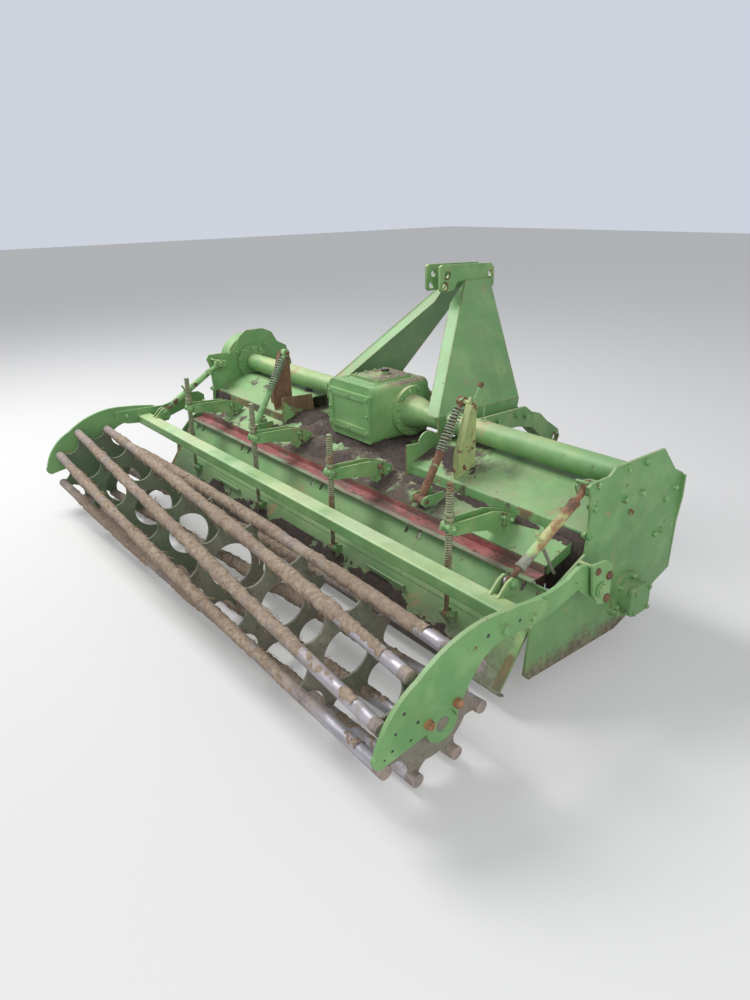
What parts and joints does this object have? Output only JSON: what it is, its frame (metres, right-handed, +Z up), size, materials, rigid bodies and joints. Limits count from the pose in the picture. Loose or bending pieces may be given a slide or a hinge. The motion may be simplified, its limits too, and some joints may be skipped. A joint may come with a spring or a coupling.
{
  "type": "rotary hoe with cage roller",
  "caption": "Wide rotary hoe for a three-point linkage: hooded rotor with curved blades, side plates, central gearbox, mast, hinged rear flap and a helical cage roller on arms.",
  "frame": {"origin": "middle of the floor area under the whole machine", "axes": "+X to the machine's right, +Y forward to the tractor, +Z up"},
  "size_m": [3.0746, 2.0518, 1.3496],
  "materials": {
    "green_paint": "faded, scuffed",
    "soil_steel": "steel under dry soil",
    "worn_steel": "worn bright and rusty",
    "rust_steel": "rusty",
    "red_paint": "faded red",
    "spring_steel": "dull"
  },
  "bodies": {
    "frame": {"side_plate_right": "green_paint", "side_plate_left": "green_paint", "side_drive_case": "green_paint", "beam_right": "green_paint", "beam_left": "green_paint", "gearbox_housing": "green_paint", "gearbox_rear_cover": "green_paint", "gearbox_top_cover": "green_paint", "pinion_housing": "green_paint", "hood_right": "green_paint", "hood_left": "green_paint", "hood_middle": "green_paint", "channel_ends": "green_paint", "hinge_strip": "red_paint", "top_link_plates": "green_paint", "mast_leg_right": "green_paint", "mast_leg_left": "green_paint", "lower_link_right": "green_paint", "lower_link_left": "green_paint", "stay_posts": "green_paint", "stay_rods": "rust_steel", "stay_springs": "spring_steel", "stay_feet": "green_paint", "rod_arms": "green_paint", "pivot_brackets": "green_paint", "rotor_bearing": "green_paint"},
    "rotor": {"rotor_shaft": "rust_steel", "rotor_blades": "worn_steel"},
    "input": {"input_shaft": "worn_steel"},
    "roller_frame": {"front_arm_right": "green_paint", "front_arm_left": "green_paint", "crescent_right": "green_paint", "crescent_left": "green_paint", "crossbar": "green_paint", "turnbuckle_forks": "green_paint", "roller_bearings": "green_paint"},
    "roller": {"roller_bars": "soil_steel", "roller_discs": "soil_steel", "roller_stubs": "soil_steel"},
    "flap": {"rear_flap": "green_paint"},
    "rods": {"flap_rods": "rust_steel"},
    "guides": {"rod_guides": "green_paint"},
    "barrels": {"turnbuckle_barrels": "rust_steel"},
    "screws": {"turnbuckle_screws": "rust_steel"}
  },
  "joints": [
    {"name": "rotor_spin", "type": "hinge", "parent": "frame", "child": "rotor", "pos_m": [0, 0.28389, 0.24466], "axis": [1, 0, 0], "continuous": true},
    {"name": "input_spin", "type": "hinge", "parent": "frame", "child": "input", "pos_m": [0, 0.41389, 0.70166], "axis": [0, 1, 0], "continuous": true},
    {"name": "arm_pivot", "type": "hinge", "parent": "frame", "child": "roller_frame", "pos_m": [0, -0.06111, 0.43966], "axis": [-1, 0, 0], "range_deg": [-8, 8]},
    {"name": "barrel_turn", "type": "hinge", "parent": "frame", "child": "barrels", "pos_m": [0, 0.04389, 0.72766], "axis": [-1, 0, 0], "range_deg": [-3.95, 3.95]},
    {"name": "screw_slide", "type": "slide", "parent": "barrels", "child": "screws", "axis": [0, -0.8575, -0.5145], "range_m": [-0.0274, 0.0274]},
    {"name": "roller_spin", "type": "hinge", "parent": "roller_frame", "child": "roller", "pos_m": [0, -0.75611, 0.23566], "axis": [1, 0, 0], "continuous": true},
    {"name": "flap_hinge", "type": "hinge", "parent": "frame", "child": "flap", "pos_m": [0, -0.15211, 0.40566], "axis": [-1, 0, 0], "range_deg": [0, 18]},
    {"name": "rod_turn", "type": "hinge", "parent": "flap", "child": "rods", "pos_m": [0, -0.31411, 0.22366], "axis": [-1, 0, 0], "range_deg": [-8.82, 0.2]},
    {"name": "guide_turn", "type": "hinge", "parent": "frame", "child": "guides", "pos_m": [0, -0.31111, 0.57766], "axis": [-1, 0, 0], "range_deg": [-0.2, 9.58]}
  ],
  "couplings": [
    {"joint": "input_spin", "follows": "rotor_spin", "ratio": -4.5},
    {"joint": "barrel_turn", "follows": "arm_pivot", "ratio": 0.46928},
    {"joint": "screw_slide", "follows": "arm_pivot", "m_per_rad": -0.19278},
    {"joint": "rod_turn", "follows": "flap_hinge", "ratio": -0.47885},
    {"joint": "guide_turn", "follows": "flap_hinge", "ratio": 0.52115}
  ]
}
